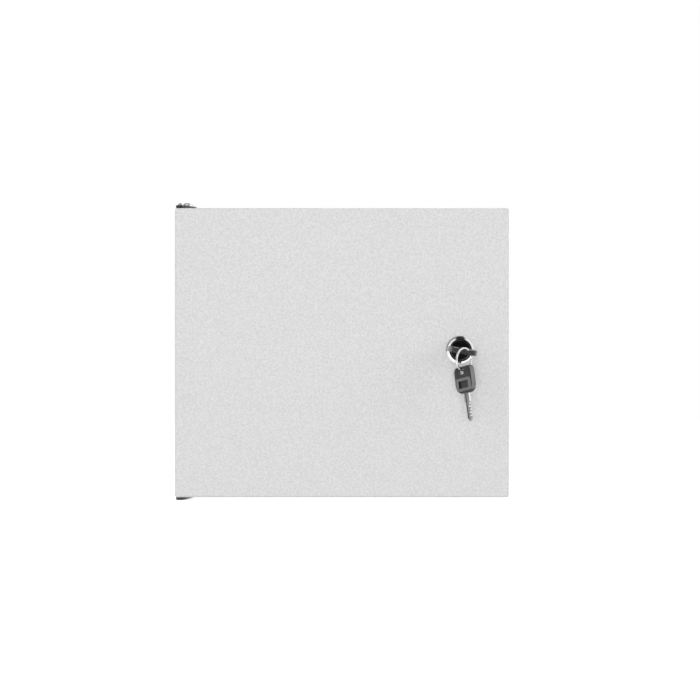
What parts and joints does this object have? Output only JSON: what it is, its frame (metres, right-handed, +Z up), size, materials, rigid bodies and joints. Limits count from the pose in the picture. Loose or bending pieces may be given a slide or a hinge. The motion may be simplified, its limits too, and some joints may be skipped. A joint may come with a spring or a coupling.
{
  "type": "steel wall enclosure",
  "caption": "Folded sheet steel wall box with a hinged, sealed door, a keyed cam lock with a spare key on a ring, and a mounting plate inside.",
  "frame": {"origin": "centre of the wall fixing holes on the outside of the back wall", "axes": "+X to the right seen from the front, +Y into the wall, +Z up; the door faces -Y"},
  "size_m": [0.3, 0.1532, 0.2728],
  "materials": {
    "powder_coat": "fine textured light grey powder coat",
    "zinc_plate": "bright zinc plated steel",
    "galvanised": "galvanised sheet",
    "seal_foam": "black foamed seal",
    "nylon": "moulded black nylon",
    "lock_chrome": "polished chrome plated zinc",
    "key_plastic": "moulded black plastic",
    "key_nickel": "nickel plated steel"
  },
  "bodies": {
    "box": {"enclosure_body": "powder_coat", "mounting_studs": "zinc_plate", "plate_spacers": "zinc_plate", "mounting_plate": "galvanised", "plate_washers": "zinc_plate", "plate_nuts": "zinc_plate", "earth_stud": "zinc_plate", "earth_washers": "zinc_plate", "earth_nut": "zinc_plate", "gland_studs": "zinc_plate", "gland_gasket": "seal_foam", "gland_plate": "galvanised", "gland_nuts": "zinc_plate", "top_hinge_bracket": "zinc_plate", "bottom_hinge_bracket": "zinc_plate", "top_hinge_pin": "zinc_plate", "bottom_hinge_pin": "zinc_plate", "hinge_screws": "zinc_plate", "hinge_nuts": "zinc_plate"},
    "door": {"door_panel": "powder_coat", "door_gasket": "seal_foam", "top_hinge_bush": "nylon", "bottom_hinge_bush": "nylon", "door_earth_stud": "zinc_plate", "door_earth_nut": "zinc_plate", "lock_gasket": "seal_foam", "lock_housing": "lock_chrome", "lock_washer": "zinc_plate", "lock_nut": "zinc_plate"},
    "lock_core": {"lock_plug": "lock_chrome", "lock_cam": "zinc_plate", "cam_washer": "zinc_plate", "cam_nut": "zinc_plate"},
    "key": {"key_blade": "key_nickel", "key_bow": "key_plastic"},
    "key_ring": {"split_ring": "key_nickel"},
    "spare_key": {"spare_key_blade": "key_nickel", "spare_key_bow": "key_plastic"}
  },
  "joints": [
    {"name": "door_swing", "type": "hinge", "parent": "box", "child": "door", "pos_m": [-0.1455, -0.102, 0], "axis": [0, 0, -1], "range_deg": [0, 170]},
    {"name": "lock_turn", "type": "hinge", "parent": "door", "child": "lock_core", "pos_m": [0.106, -0.11, 0.0025], "axis": [0, -1, 0], "range_deg": [0, 100]},
    {"name": "key_pull", "type": "slide", "parent": "lock_core", "child": "key", "axis": [0, -1, 0], "range_m": [0, 0.026]},
    {"name": "ring_swing", "type": "hinge", "parent": "key", "child": "key_ring", "pos_m": [0.106, -0.1385, 0.0025], "axis": [-0.9848, 0, 0.1736], "range_deg": [0, 40]},
    {"name": "spare_key_swing", "type": "hinge", "parent": "key_ring", "child": "spare_key", "pos_m": [0.1064, -0.1393, -0.01427], "axis": [-0.7314, -0.682, 0], "range_deg": [-35, 45]}
  ]
}
